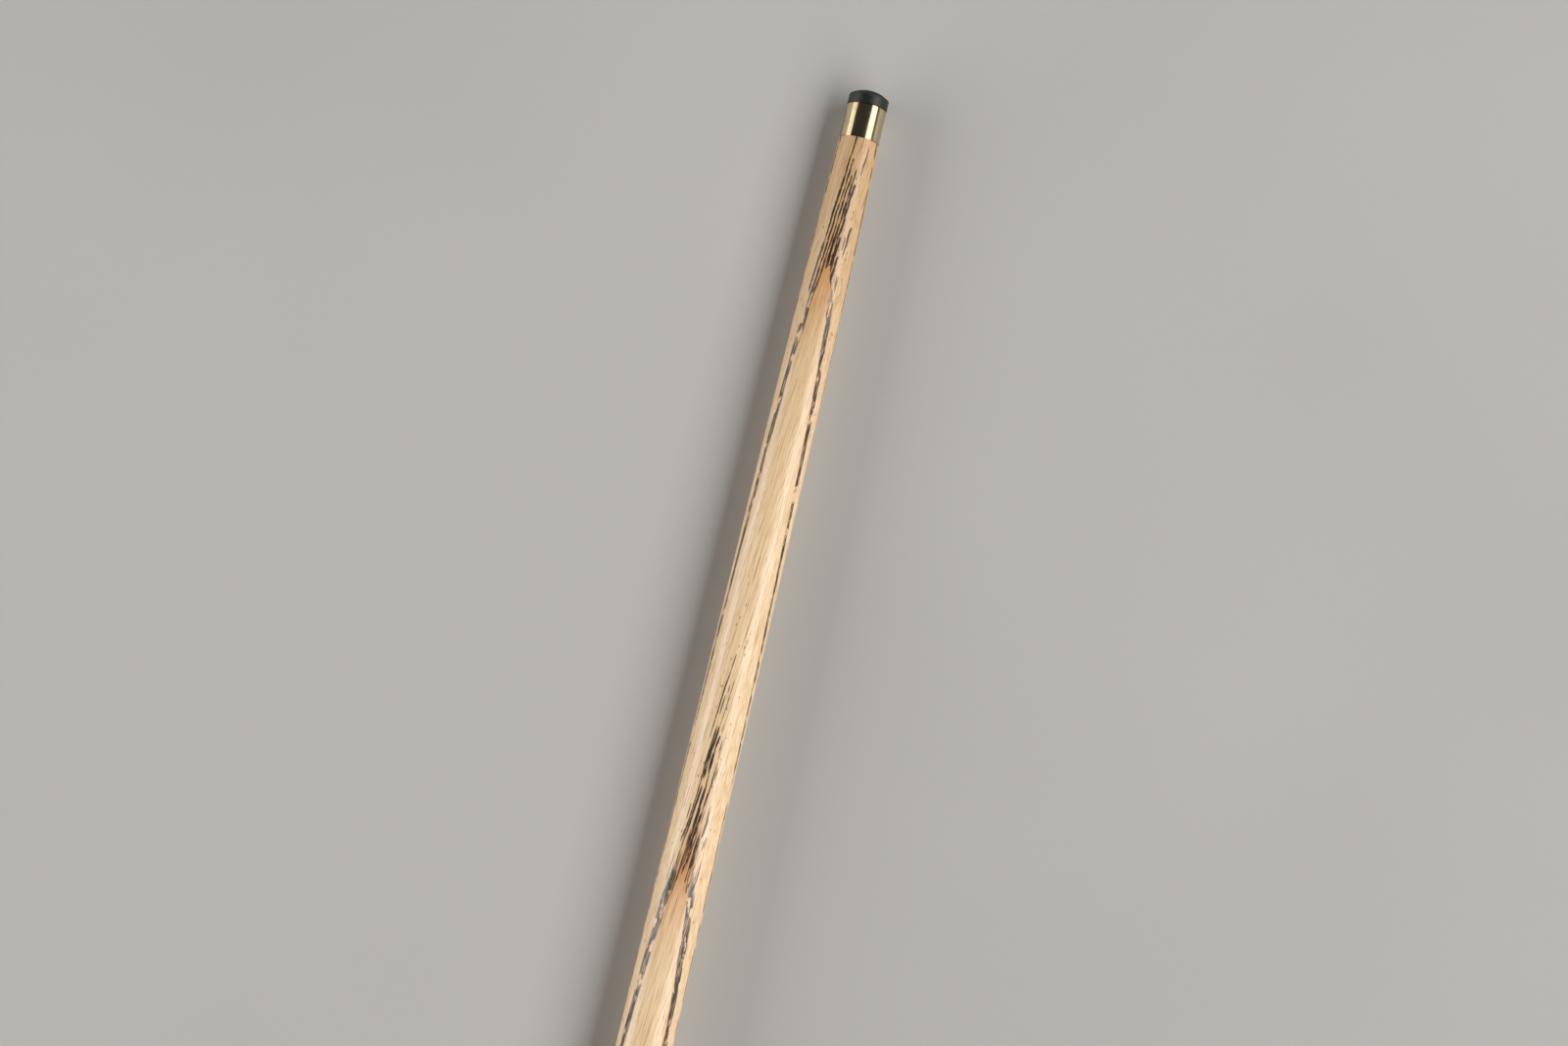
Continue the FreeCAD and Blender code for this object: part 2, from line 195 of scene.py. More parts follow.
# Ash: growth layers are curved sheets that dip towards the butt, and the surface cuts them into
# chevrons. Each layer ends in a band of open pores, filled dark, then an orange tint.
RING_WIDTH = 2.502
FIRST_RING = 5.693
LAYER_DIP = 0.012
LAYER_CURL = 1 / 19.5, 1 / 50
CURL_REACH = 150.0, 900.0
GRAIN_DRIFT = 0.07
BUTT_ASH_SHIFT = 37.0
ASH_PALE, ASH_PALEST, ASH_CLOUD = tone(227, 193, 149), tone(247, 221, 184), tone(232, 200, 158)
ASH_HAIR, ASH_LINE, ASH_TINT = tone(192, 147, 97), tone(176, 122, 70), tone(208, 141, 80)
PORE_FILL = tone(30, 25, 22)
# Painted shade: the wood next to the ferrule is darkened and browned, less and less up to this
# distance.
SHADE_AT_FERRULE, UNSHADED_WOOD, FERRULE_SHADE_REACH = (0.72, 0.635, 0.51), (1.0, 1.0, 1.0), 90.0
# Share of the pores that stay near the ferrule, and the distances between which the rest return.
PORE_SHARE, PORE_RETURN = 0.20, (30.0, 48.0)
# Stops (place in a layer, share of pores): they crowd towards the layer's end.
PORE_CROWD = ((0.0, 0.0), (0.66, 0.0), (0.72, 0.06), (0.78, 0.24), (0.85, 0.40), (0.94, 0.62),
              (1.0, 0.80))
VESSEL_CROWD = (0.0, 0.0), (0.74, 0.0), (0.79, 0.24), (0.86, 0.40), (1.0, 0.50)
# Stops (place in a layer, strength) of the orange tint.
TINT_STOPS = ((0.0, 1.0), (0.02, 0.70), (0.05, 0.28), (0.12, 0.0), (0.80, 0.0), (0.92, 0.35),
              (1.0, 0.9))
# Single streaks of the first two clusters, which follow the grain. Each has the side where its
# line would meet the ferrule, its first and last distance from the ferrule, and its width.
STREAKS = (
    (0.50, -1.0, 39.0, 0.54), (-0.24, 5.0, 42.0, 0.44), (-0.98, 9.0, 40.0, 0.44),
    (-1.72, 7.5, 33.0, 0.58), (-2.35, 11.0, 35.0, 0.72), (-2.75, 24.0, 36.0, 0.80),
    (-3.60, 28.5, 37.0, 0.66), (-4.50, 21.0, 29.0, 0.54), (-2.95, 1.5, 9.5, 0.36),
    (-8.50, 127.0, 144.0, 0.36), (-10.10, 129.0, 141.0, 0.24), (-9.90, 140.0, 153.0, 0.56),
    (-10.70, 142.0, 152.0, 0.56), (-9.50, 144.0, 167.0, 0.36), (-10.95, 151.0, 165.0, 0.38),
    (-12.00, 150.0, 166.0, 0.38), (-11.80, 160.0, 175.0, 0.48), (-13.00, 165.0, 177.0, 0.60),
)


def ash(name, shift=0.0, streaks=()):
    """Ash along the cue. shift moves its pattern towards the tip."""
    g = Graph(name)
    x, y, z = g.place()
    along = g.sub(FERRULE_START + shift, x)
    slow = g.noise(g.vector(g.mul(along, 1 / 55), g.mul(y, 0.12), g.mul(z, 0.12)), detail=1.0)
    lean = g.sub(y, g.mul(along, GRAIN_DRIFT))
    across = g.sub(lean, g.mul(slow, 1.6))
    aside = g.math("ABSOLUTE", y)

    def fibre(length, width):
        return g.vector(g.mul(along, 1 / length), g.mul(across, 1 / width), g.mul(z, 1 / width))

    # grow is how far out in the tree a point lies, and turn its place in its layer, from 0 to 1.
    curl = g.fade(along, *CURL_REACH, *LAYER_CURL)
    grow = g.add(g.add(z, g.mul(g.mul(y, y), curl)), g.mul(along, LAYER_DIP))
    ripple = g.noise(g.vector(g.mul(along, 1 / 9), g.mul(y, 0.5), g.mul(z, 0.5)), detail=2.0)
    grow = g.add(grow, g.mul(g.sub(ripple, 0.5), 0.22))
    phase = g.mul(g.sub(grow, FIRST_RING), 1 / RING_WIDTH)

    def pores(length, width, ragged, size, crowd):
        """Dark dashes along the grain that crowd towards each layer's end."""
        near, chance, delay, weight = g.cells(fibre(length, width))
        turn = g.math("FRACT", g.add(phase, g.mul(g.sub(delay, 0.5), ragged)))
        crowded = g.ramp(g.sub(turn, g.mul(aside, 0.026)), crowd)
        kept = g.fade(along, *PORE_RETURN, PORE_SHARE, 1.0)
        wanted = g.math("LESS_THAN", chance, g.mul(crowded, kept))
        body = g.fade(near, size, size - 0.10)
        return g.mul(g.mul(body, wanted), g.fade(weight, 0.0, 0.6, 0.80, 1.0))

    large = pores(16.0, 0.64, 0.04, 0.50, PORE_CROWD)
    small = pores(5.0, 0.34, 0.03, 0.50, PORE_CROWD)
    vessels = pores(40.0, 0.70, 0.06, 0.42, VESSEL_CROWD)
    beads = g.fade(g.noise(fibre(4.0, 0.30), detail=1.0), 0.36, 0.52)
    specks, luck, _, _ = g.cells(fibre(1.6, 0.42))
    specks = g.mul(g.fade(specks, 0.34, 0.16), g.math("LESS_THAN", luck, 0.12))
    dark = g.math("MAXIMUM", g.mul(large, g.fade(beads, 0.0, 1.0, 0.60, 1.0)), g.mul(small, 0.9))
    dark = g.math("MAXIMUM", dark, g.mul(vessels, g.fade(beads, 0.0, 1.0, 0.25, 1.0)))
    turn = g.math("FRACT", phase)
    specks = g.mul(specks, g.fade(turn, 0.45, 0.62, 0.15, 0.8))
    dark = g.math("MAXIMUM", dark, specks)

    # A dark line where a layer's end comes to the cue's sides, broken by gaps.
    edge = g.fade(aside, 1.5, 5.5, 0.93, 0.76)
    gaps = g.noise(g.vector(g.mul(along, 0.3), g.mul(y, 0.6), g.mul(z, 0.6)), detail=2.0)
    seam = g.fade(g.sub(turn, edge), 0.0, 0.03)
    seam = g.mul(g.mul(seam, g.fade(gaps, 0.39, 0.47)), g.fade(aside, 1.4, 2.4))
    dark = g.math("MAXIMUM", dark, g.mul(seam, g.fade(beads, 0.0, 1.0, 0.55, 1.0)))

    # The single streaks, on the upper side and in the later part of a layer only.
    wander = g.noise(g.vector(g.mul(along, 1 / 8), g.mul(lean, 0.8), 0.0), detail=2.0)
    bent = g.add(lean, g.mul(g.sub(wander, 0.5), 0.7))
    fray = g.noise(g.vector(g.mul(along, 0.30), g.mul(lean, 2.4), 0.0), detail=3.0, rough=0.6)
    fray = g.fade(fray, 0.36, 0.58, 0.22, 0.68)
    drawn = 0.0
    for side, first, last, width in streaks:
        off = g.math("ABSOLUTE", g.sub(bent, side))
        line = g.fade(off, g.mul(fray, width), 0.0, 0.0, 2.4)
        line = g.mul(line, g.fade(along, first, first + 1.0))
        line = g.mul(line, g.fade(along, last, last - 2.5))
        drawn = g.math("MAXIMUM", drawn, line)
    upper = g.mul(g.math("GREATER_THAN", z, 0.0), g.math("GREATER_THAN", turn, 0.4))
    dark = g.math("MAXIMUM", dark, g.math("MINIMUM", g.mul(drawn, upper), 1.0))

    # Pale wood: threads, slow clouds, brown hairs and short brown lines, then the orange tint.
    tint = g.ramp(turn, TINT_STOPS)
    threads = g.noise(fibre(16.0, 0.35), detail=3.0, rough=0.65)
    cloud = g.noise(fibre(40.0, 3.0), detail=2.0)
    pale = g.mix(g.fade(threads, 0.32, 0.68), ASH_PALE, ASH_PALEST)
    pale = g.mix(g.fade(cloud, 0.35, 0.65, 0.0, 0.45), pale, ASH_CLOUD)
    hairs = g.noise(fibre(11.0, 0.18), detail=2.0, rough=0.6)
    pale = g.mix(g.fade(hairs, 0.54, 0.66, 0.0, 0.75), pale, ASH_HAIR)
    near, luck, _, weight = g.cells(fibre(13.0, 0.36))
    line = g.mul(g.fade(near, 0.46, 0.30), g.math("LESS_THAN", luck, 0.13))
    pale = g.mix(g.mul(line, g.fade(weight, 0.0, 1.0, 0.25, 0.75)), pale, ASH_LINE)
    # Painted shade: darkens and browns the pale wood next to the ferrule, fading out along the cue.
    painted_shade = g.mix(g.fade(along, 0.0, FERRULE_SHADE_REACH), SHADE_AT_FERRULE, UNSHADED_WOOD)
    pale = g.mix(1.0, pale, painted_shade, "MULTIPLY")
    tint = g.mul(tint, g.fade(aside, 0.8, 3.0, 0.85, 0.35))
    wood = g.mix(tint, pale, ASH_TINT)
    colour = g.mix(g.mul(dark, 0.98), wood, PORE_FILL)
    sheen = g.fade(threads, 0.3, 0.7, 0.34, 0.44)
    dent = g.sub(g.mul(threads, 0.15), dark)
    return g.finish(Base_Color=colour, Roughness=g.add(sheen, g.mul(dark, 0.10)),
                    Normal=g.bump(dent, 0.05, 0.35), Coat_Weight=0.5, Coat_Roughness=0.22)


PORE_DARK = tone(14, 11, 10)
WOOD_GLOSS = 0.36, 0.44


def hardwood(name, deep, warm, streak, pore_share):
    """A close-grained wood along the cue: ribbons of two colours with fine dark pores."""
    g = Graph(name)
    x, y, z = g.place()
    bend = g.noise(g.vector(g.mul(x, 1 / 70), g.mul(y, 0.1), g.mul(z, 0.1)), detail=1.0)
    across = g.add(y, g.mul(bend, 2.2))

    def fibre(length, width):
        return g.vector(g.mul(x, 1 / length), g.mul(across, 1 / width), g.mul(z, 1 / width))

    ribbon = g.noise(fibre(60.0, 1.6), detail=3.0, rough=0.6)
    threads = g.noise(fibre(12.0, 0.28), detail=2.0, rough=0.6)
    near, chance, _, weight = g.cells(fibre(5.0, 0.34))
    pore = g.mul(g.fade(near, 0.42, 0.22), g.math("LESS_THAN", chance, pore_share))
    base = g.mix(g.fade(ribbon, 0.38, 0.62), deep, warm)
    base = g.mix(g.fade(threads, 0.5, 0.75, 0.0, 0.55), base, streak)
    colour = g.mix(g.mul(pore, g.fade(weight, 0.0, 1.0, 0.4, 0.9)), base, PORE_DARK)
    dent = g.sub(g.mul(threads, 0.2), pore)
    return g.finish(Base_Color=colour, Roughness=g.fade(threads, 0.3, 0.7, *WOOD_GLOSS),
                    Normal=g.bump(dent, 0.04, 0.3), Coat_Weight=0.35, Coat_Roughness=0.22)


RIM_COPPER = tone(196, 104, 52)


def turned_metal(name, bright, dull, low=0.10, high=0.20, pitch=0.16, ends=None):
    """Metal turned on a lathe: fine rings round the axis, smudges, and coppery rims at ends."""
    g = Graph(name)
    x, y, z = g.place()
    rings = g.noise(g.vector(g.mul(x, 1 / pitch), 0.0, 0.0), detail=2.0, rough=0.7)
    smudge = g.noise(g.vector(g.mul(x, 0.4), g.mul(y, 0.4), g.mul(z, 0.4)), detail=4.0)
    colour = g.mix(g.fade(smudge, 0.40, 0.68), bright, dull)
    if ends:
        rim = g.math("MAXIMUM", g.fade(x, ends[0] + 0.3, ends[0] + 0.1),
                     g.fade(x, ends[1] - 0.3, ends[1] - 0.1))
        colour = g.mix(rim, colour, RIM_COPPER)
    worn = g.add(g.fade(smudge, 0.35, 0.70, low, high), g.mul(g.sub(rings, 0.5), 0.05))
    return g.finish(Base_Color=colour, Metallic=1.0, Roughness=worn,
                    Normal=g.bump(rings, 0.002, 0.04))


LEATHER_DARK, LEATHER_WORN, LEATHER_LAYER = tone(8, 11, 9), tone(26, 32, 28), tone(34, 38, 34)
CROWN_DARK, CROWN_CHALKY = tone(16, 22, 20), tone(46, 58, 55)


def leather(name):
    """Pressed tip leather: burnished dark wall, rough crown dulled by old chalk."""
    g = Graph(name)
    x, y, z = g.place()
    crown = g.fade(x, TIP_END - 2.2, TIP_END - 1.5)
    pitted = g.noise(g.vector(g.mul(x, 2.6), g.mul(y, 2.6), g.mul(z, 2.6)), detail=5.0, rough=0.7)
    layers = g.noise(g.vector(g.mul(x, 5.0), g.mul(y, 0.3), g.mul(z, 0.3)), detail=2.0)
    wall = g.mix(g.fade(pitted, 0.40, 0.62), LEATHER_DARK, LEATHER_WORN)
    wall = g.mix(g.fade(layers, 0.35, 0.65, 0.0, 0.4), wall, LEATHER_LAYER)
    top = g.mix(g.fade(pitted, 0.42, 0.66), CROWN_DARK, CROWN_CHALKY)
    colour = g.mix(crown, wall, top)
    rough = g.add(g.fade(pitted, 0.3, 0.7, 0.40, 0.55), g.mul(crown, 0.25))
    height = g.add(g.mul(pitted, g.add(g.mul(crown, 0.8), 0.25)), g.mul(layers, 0.15))
    return g.finish(Base_Color=colour, Roughness=rough, Normal=g.bump(height, 0.10, 0.5))


def moulded(name, colour, low, high, grain):
    """Rubber or fibre: a close matt texture with faint wear."""
    g = Graph(name)
    x, y, z = g.place()
    fine = g.noise(g.vector(g.mul(x, grain), g.mul(y, grain), g.mul(z, grain)), detail=3.0)
    patch = g.noise(g.vector(g.mul(x, 0.25), g.mul(y, 0.25), g.mul(z, 0.25)), detail=3.0)
    lighter = tuple(min(1.0, level * 2.1 + 0.006) for level in colour)
    shade = g.mix(g.fade(patch, 0.45, 0.75, 0.0, 0.6), colour, lighter)
    return g.finish(Base_Color=shade, Roughness=g.fade(fine, 0.3, 0.7, low, high),
                    Normal=g.bump(fine, 0.05, 0.4))


def brushed_plate(name, bright, dull):
    """Flat brass brushed along its length."""
    g = Graph(name)
    x, y, z = g.place()
    lines = g.noise(g.vector(g.mul(x, 0.12), g.mul(y, 9.0), g.mul(z, 1.0)), detail=3.0, rough=0.7)
    smudge = g.noise(g.vector(g.mul(x, 0.15), g.mul(y, 0.4), g.mul(z, 0.4)), detail=3.0)
    colour = g.mix(g.fade(smudge, 0.4, 0.7), bright, dull)
    return g.finish(Base_Color=colour, Metallic=1.0, Roughness=g.fade(lines, 0.3, 0.7, 0.20, 0.34),
                    Normal=g.bump(lines, 0.01, 0.3))


BRASS = tone(222, 207, 168), tone(206, 189, 147)
shaft_ash = ash("shaft_ash", streaks=STREAKS)
butt_ash = ash("butt_ash", BUTT_ASH_SHIFT)
ebony = hardwood("ebony", tone(24, 20, 19), tone(38, 30, 26), tone(60, 46, 38), 0.22)
maple = hardwood("maple_veneer", tone(222, 196, 150), tone(234, 212, 170), tone(201, 170, 122),
                  0.05)
rosewood = hardwood("accent_wood", tone(112, 52, 30), tone(148, 74, 40), tone(66, 30, 20), 0.30)
ferrule_brass = turned_metal("ferrule_brass", *BRASS, ends=(FERRULE_START, FERRULE_END))
joint_brass = turned_metal("joint_brass", *BRASS, low=0.14, high=0.26, pitch=0.22)
badge_brass = brushed_plate("badge_brass", *BRASS)
steel = turned_metal("weight_steel", tone(190, 190, 192), tone(150, 150, 150), 0.25, 0.4, 0.3)
tip_leather = leather("tip_leather")
rubber = moulded("bumper_rubber", tone(34, 34, 35), 0.62, 0.80, 1.6)
fibre = moulded("washer_fibre", tone(26, 24, 24), 0.50, 0.65, 3.0)

# ---------------------------------------------------------------- mesh work
ROUND, BLANK_ROUND, THREAD_ROUND = 128, 160, 96
SHARP = math.radians(28)


def cubic(start, near, far, end, steps):
    """Points of a cubic curve between start and end, both left out."""
    points = []
    for step in range(1, steps):
        t = step / steps
        shares = (1 - t) ** 3, 3 * (1 - t) ** 2 * t, 3 * (1 - t) * t * t, t ** 3
        points.append(tuple(sum(share * place[axis] for share, place in
                                zip(shares, (start, near, far, end))) for axis in (0, 1)))
    return points


def straight(start, end, steps):
    """Points of a straight line between start and end, both left out."""
    return [tuple(a + (b - a) * step / steps for a, b in zip(start, end))
            for step in range(1, steps)]


def arc(centre, radius, start, end, steps):
    """Points of an arc in the outline's plane, both ends included, angles in degrees."""
    points = []
    for step in range(steps + 1):
        turn = math.radians(start + (end - start) * step / steps)
        points.append((centre[0] + radius * math.cos(turn), centre[1] + radius * math.sin(turn)))
    return points


def lathe(outline, segments=ROUND, offset=None):
    """A closed solid turned about the cue's axis. offset(x, radius, turn) gives a new radius."""
    mesh = bmesh.new()
    rings = []
    for x, radius in outline:
        if radius <= 0:
            rings.append([mesh.verts.new((x, 0, 0))])
            continue
        ring = []
        for index in range(segments):
            turn = 2 * math.pi * index / segments
            out = offset(x, radius, turn) if offset else radius
            ring.append(mesh.verts.new((x, -out * math.sin(turn), out * math.cos(turn))))
        rings.append(ring)
    for first, second in zip(rings, rings[1:] + rings[:1]):
        for index in range(segments):
            following = (index + 1) % segments
            loop = [first[index % len(first)], first[following % len(first)],
                    second[following % len(second)], second[index % len(second)]]
            corners = list(dict.fromkeys(loop))
            if len(corners) > 2:
                mesh.faces.new(corners)
    bmesh.ops.recalc_face_normals(mesh, faces=mesh.faces)
    return mesh


def slice_off(mesh, near, far, side, roll=0):
    """Cuts away what is beyond (side 1) or within (side -1) a sloping plane beside the axis.

    near and far are the plane's distances from the axis at the two ends of the butt's wood.
    """
    slope = math.atan2(far - near, BUTT_END - BUTT_START)
    turn = Matrix.Rotation(math.radians(roll), 3, "X")
    normal = turn @ Vector((-math.sin(slope), 0, math.cos(slope)))
    point = turn @ Vector((BUTT_START, 0, near))
    everything = mesh.verts[:] + mesh.edges[:] + mesh.faces[:]
    bmesh.ops.bisect_plane(mesh, geom=everything, plane_co=point, plane_no=normal * side,
                           clear_outer=True, dist=1e-5)
    rim = [edge for edge in mesh.edges if len(edge.link_faces) == 1]
    if rim:
        bmesh.ops.holes_fill(mesh, edges=rim, sides=0)
    return mesh


def make(name, mesh, material, body, slot_name, *nodes):
    """Turns a mesh in millimetres into a finished piece that stands for CAD nodes."""
    bmesh.ops.recalc_face_normals(mesh, faces=mesh.faces)
    for face in mesh.faces:
        face.smooth = True
    for edge in mesh.edges:
        if len(edge.link_faces) == 2 and edge.calc_face_angle(0) > SHARP:
            edge.smooth = False
    mesh.transform(Matrix.Scale(MM, 4))
    data = bpy.data.meshes.new(name)
    mesh.to_mesh(data)
    mesh.free()
    data.materials.append(material)
    piece = bpy.data.objects.new(name, data)
    bpy.context.scene.collection.objects.link(piece)
    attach(piece, body)
    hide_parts(*nodes)
    return piece


# ---------------------------------------------------------------- tip, ferrule and shaft
CROWN_RADIUS = 8.0
EDGE = 0.12
TIP_BEVEL, WALL_MARGIN, CROWN_START = 0.1, 0.15, 1.2
UNEVEN_DEPTH, UNEVEN_RATE = 0.035, 0.7
rim_angle = math.degrees(math.asin(TIP_RADIUS / CROWN_RADIUS))
crown_centre = (TIP_END - CROWN_RADIUS, 0)
wall_end = crown_centre[0] + CROWN_RADIUS * math.cos(math.radians(rim_angle))


def pressed(x, radius, turn):
    """Slight unevenness of pressed leather, always inwards."""
    where = Vector((x, math.cos(turn) * radius, math.sin(turn) * radius))
    return radius - UNEVEN_DEPTH * (0.5 + 0.5 * noise.noise(where * UNEVEN_RATE))


wall_foot, wall_top = (FERRULE_END + TIP_BEVEL, TIP_RADIUS), (wall_end - WALL_MARGIN, TIP_RADIUS)
tip_outline = [(FERRULE_END, 0), (FERRULE_END, TIP_RADIUS - EDGE), wall_foot]
tip_outline += straight(wall_foot, wall_top, 12) + [wall_top]
tip_outline += arc(crown_centre, CROWN_RADIUS, rim_angle - CROWN_START, 0, 24)[:-1] + [(TIP_END, 0)]
make("tip", lathe(tip_outline, offset=pressed), tip_leather, "shaft", "tip_leather", "cue_tip")

FERRULE_DEPTH, TENON_SOCKET, TENON_RADIUS = 6.3, 3.8, 3.75
# The two loops at EDGE * 2 hold the wall's normals straight, so its reflections stay straight.
ferrule_outline = [
    (FERRULE_START, TENON_SOCKET), (FERRULE_START, TIP_RADIUS - EDGE),
    (FERRULE_START + EDGE * 0.4, TIP_RADIUS - EDGE * 0.3), (FERRULE_START + EDGE, TIP_RADIUS),
    (FERRULE_START + EDGE * 2, TIP_RADIUS), (FERRULE_END - EDGE * 2, TIP_RADIUS),
    (FERRULE_END - EDGE, TIP_RADIUS), (FERRULE_END - EDGE * 0.4, TIP_RADIUS - EDGE * 0.3),
    (FERRULE_END, TIP_RADIUS - EDGE), (FERRULE_END, 0), (FERRULE_START + FERRULE_DEPTH, 0),
    (FERRULE_START + FERRULE_DEPTH, TENON_SOCKET),
]
make("ferrule_cup", lathe(ferrule_outline), ferrule_brass, "shaft", "ferrule_brass", "ferrule")

# The shaft narrows faster near the ferrule: distances before the ferrule, and radii, of the curve.
FLARE = (100.0, 5.739), (50.0, 5.474), (22.0, 5.339)
flare_start, flare_near, flare_far = [(FERRULE_START - back, radius) for back, radius in FLARE]
shaft_end = (FERRULE_START, TIP_RADIUS)
INSERT_RADIUS, INSERT_LENGTH, GLUE = 7.5, 21.5, 0.05
shaft_outline = [(SHAFT_START, INSERT_RADIUS + GLUE), (SHAFT_START, JOINT_RADIUS)]
shaft_outline += straight(shaft_outline[-1], flare_start, 60) + [flare_start]
shaft_outline += cubic(flare_start, flare_near, flare_far, shaft_end, 40) + [shaft_end]
shaft_outline += [
    (FERRULE_START, TENON_RADIUS), (TENON_END, TENON_RADIUS), (TENON_END, 0),
    (SHAFT_START + INSERT_LENGTH + GLUE, 0),
    (SHAFT_START + INSERT_LENGTH + GLUE, INSERT_RADIUS + GLUE),
]
make("shaft_wood", lathe(shaft_outline), shaft_ash, "shaft", "shaft_ash", "shaft")

# ---------------------------------------------------------------- screw joint
PITCH = 2.0
THREAD_DEPTH = 0.85
PIN_RADIUS, PIN_NOSE, PIN_NOSE_RADIUS = 5.0, 2.0, 3.9
BORE_RADIUS, BORE_DEPTH = 5.06, 25.5
TANG_RADIUS = 4.95
THREAD_STEP = 0.0625
ROOT_FLAT, FLANK = 0.14, 0.72  # shares of half a pitch
# Plain lengths at a thread's ends, and the lengths over which it deepens.
PIN_PLAIN, PIN_FIRST_CUT, PIN_RUN_OUT, PIN_END_PLAIN = 0.5, 0.6, 1.2, 0.1
BORE_PLAIN, BORE_RUN_OUT, BORE_CHAMFER = 0.9, 1.0, 0.35
THREAD_CLEARANCE = 0.08
SAME_RADIUS = 0.01  # two radii closer than this are one surface


def ridge(x, turn):
    """Height of a right-hand thread from 0 at its root to 1 at its crest."""
    wave = abs(((x - PITCH * turn / (2 * math.pi)) / PITCH) % 1.0 - 0.5) * 2
    return min(1.0, max(0.0, (wave - ROOT_FLAT) / FLANK))


def pin_thread(x, radius, turn):
    """Cuts the joint pin's thread, which runs out at the collar and at the nose."""
    fades_in = min(1.0, max(0.0, (x - WASHER_START - PIN_FIRST_CUT) / PIN_RUN_OUT))
    inside = WASHER_START + PIN_PLAIN <= x <= PIN_END - PIN_END_PLAIN
    if radius > PIN_RADIUS + SAME_RADIUS or not inside:
        return radius
    root = PIN_RADIUS - THREAD_DEPTH * fades_in
    return min(radius, root + (PIN_RADIUS - root) * ridge(x, turn))


def bore_thread(x, radius, turn):
    """Cuts the joint socket's thread, which meets the pin's."""
    inside = INSERT_START + BORE_PLAIN < x < INSERT_START + BORE_DEPTH
    if abs(radius - BORE_RADIUS) > SAME_RADIUS or not inside:
        return radius
    fades_in = min(1.0, (x - INSERT_START - BORE_PLAIN) / BORE_RUN_OUT)
    return BORE_RADIUS - (THREAD_DEPTH - THREAD_CLEARANCE) * fades_in * (1 - ridge(x, turn))


def stations(start, end):
    """Even stations along a thread, both ends included."""
    count = max(2, round((end - start) / THREAD_STEP))
    return [start + (end - start) * step / count for step in range(count + 1)]


COLLAR_GROOVE = 0.18


def collar(start, end, radius, broken_start, broken_end):
    """Outline of a collar's outside, with a groove round its middle and a broken edge if asked."""
    outline = []
    if broken_start:
        outline += [(start, radius - EDGE), (start + EDGE, radius)]
    else:
        outline += [(start, radius)]
    middle, groove = (start + end) / 2, COLLAR_GROOVE
    outline += [(middle - 2 * groove, radius), (middle - groove, radius - groove),
                (middle + groove, radius - groove), (middle + 2 * groove, radius)]
    if broken_end:
        outline += [(end - EDGE, radius), (end, radius - EDGE)]
    else:
        outline += [(end, radius)]
    return outline


pin_outline = [(PIN_START, 0), (PIN_START, TANG_RADIUS), (BUTT_END, TANG_RADIUS)]
pin_outline += collar(BUTT_END, WASHER_START, JOINT_RADIUS, False, True)
pin_outline += [(x, PIN_RADIUS) for x in stations(WASHER_START, PIN_END - PIN_NOSE)]
for x in stations(PIN_END - PIN_NOSE, PIN_END)[1:]:
    taper = (PIN_NOSE_RADIUS - PIN_RADIUS) * (x - PIN_END + PIN_NOSE) / PIN_NOSE
    pin_outline.append((x, PIN_RADIUS + taper))
pin_outline += [(PIN_END, 0)]
make("joint_pin_screw", lathe(pin_outline, THREAD_ROUND, pin_thread), joint_brass, "butt",
     "joint_brass", "joint_pin")

socket_outline = [(INSERT_START, BORE_RADIUS + BORE_CHAMFER)]
socket_outline += collar(INSERT_START, SHAFT_START, JOINT_RADIUS, True, False)
socket_outline += [
    (SHAFT_START, INSERT_RADIUS), (INSERT_END, INSERT_RADIUS), (INSERT_END, 0),
    (INSERT_START + BORE_DEPTH, 0),
]
bore_stations = stations(INSERT_START + BORE_CHAMFER, INSERT_START + BORE_DEPTH)
socket_outline += [(x, BORE_RADIUS) for x in reversed(bore_stations)]
make("joint_socket_insert", lathe(socket_outline, THREAD_ROUND, bore_thread), joint_brass, "shaft",
     "joint_brass", "joint_socket")

WASHER_RADIUS, WASHER_BORE, WASHER_BEVEL = 10.6, 5.3, 0.1
washer_outline = [
    (WASHER_START, WASHER_BORE), (WASHER_START, WASHER_RADIUS - WASHER_BEVEL),
    (WASHER_START + WASHER_BEVEL, WASHER_RADIUS), (WASHER_END - WASHER_BEVEL, WASHER_RADIUS),
    (WASHER_END, WASHER_RADIUS - WASHER_BEVEL), (WASHER_END, WASHER_BORE),
]
make("joint_washer_ring", lathe(washer_outline), fibre, "washer", "washer_fibre", "joint_washer")

# ---------------------------------------------------------------- spliced butt
# Each pair is a sloping plane's distance from the axis at the two ends of the butt's wood.
CORE = 7.84, 11.30
UNDER_VENEER = 10.40, 13.98
UNDER_ACCENT = 11.20, 14.78
FLAT = 12.20, 20.30
SWELL = (BUTT_START + 129.0, 14.35), (BUTT_START + 259.0, 11.65)  # handles of the butt's curve
BARREL_RADIUS, WEIGHT_RADIUS = 6.45, 6.0
blank_start, blank_end = (BUTT_START, BUTT_RADIUS), (BUTT_END, JOINT_RADIUS)
blank_curve = [blank_start] + cubic(blank_start, *SWELL, blank_end, 100) + [blank_end]
weight_end = span("weight_rod")[1]
SIDES = (("top", 0), ("bottom", 180), ("left", -90), ("right", 90))


def blank():
    """The butt's whole turned shape, to cut a splice from."""
    return lathe([(BUTT_START, 0)] + blank_curve + [(BUTT_END, 0)], BLANK_ROUND)


core_outline = [(BUTT_START, BARREL_RADIUS + GLUE)] + blank_curve + [
    (BUTT_END, TANG_RADIUS + GLUE), (PIN_START - GLUE, TANG_RADIUS + GLUE), (PIN_START - GLUE, 0),
    (weight_end, 0), (weight_end, WEIGHT_RADIUS + GLUE),
    (SOCKET_END + GLUE, WEIGHT_RADIUS + GLUE), (SOCKET_END + GLUE, BARREL_RADIUS + GLUE),
]
core = lathe(core_outline, BLANK_ROUND)
for side, roll in SIDES:
    slice_off(core, *CORE, 1, roll)
make("butt_core_ash", core, butt_ash, "butt", "butt_ash", "butt_core")

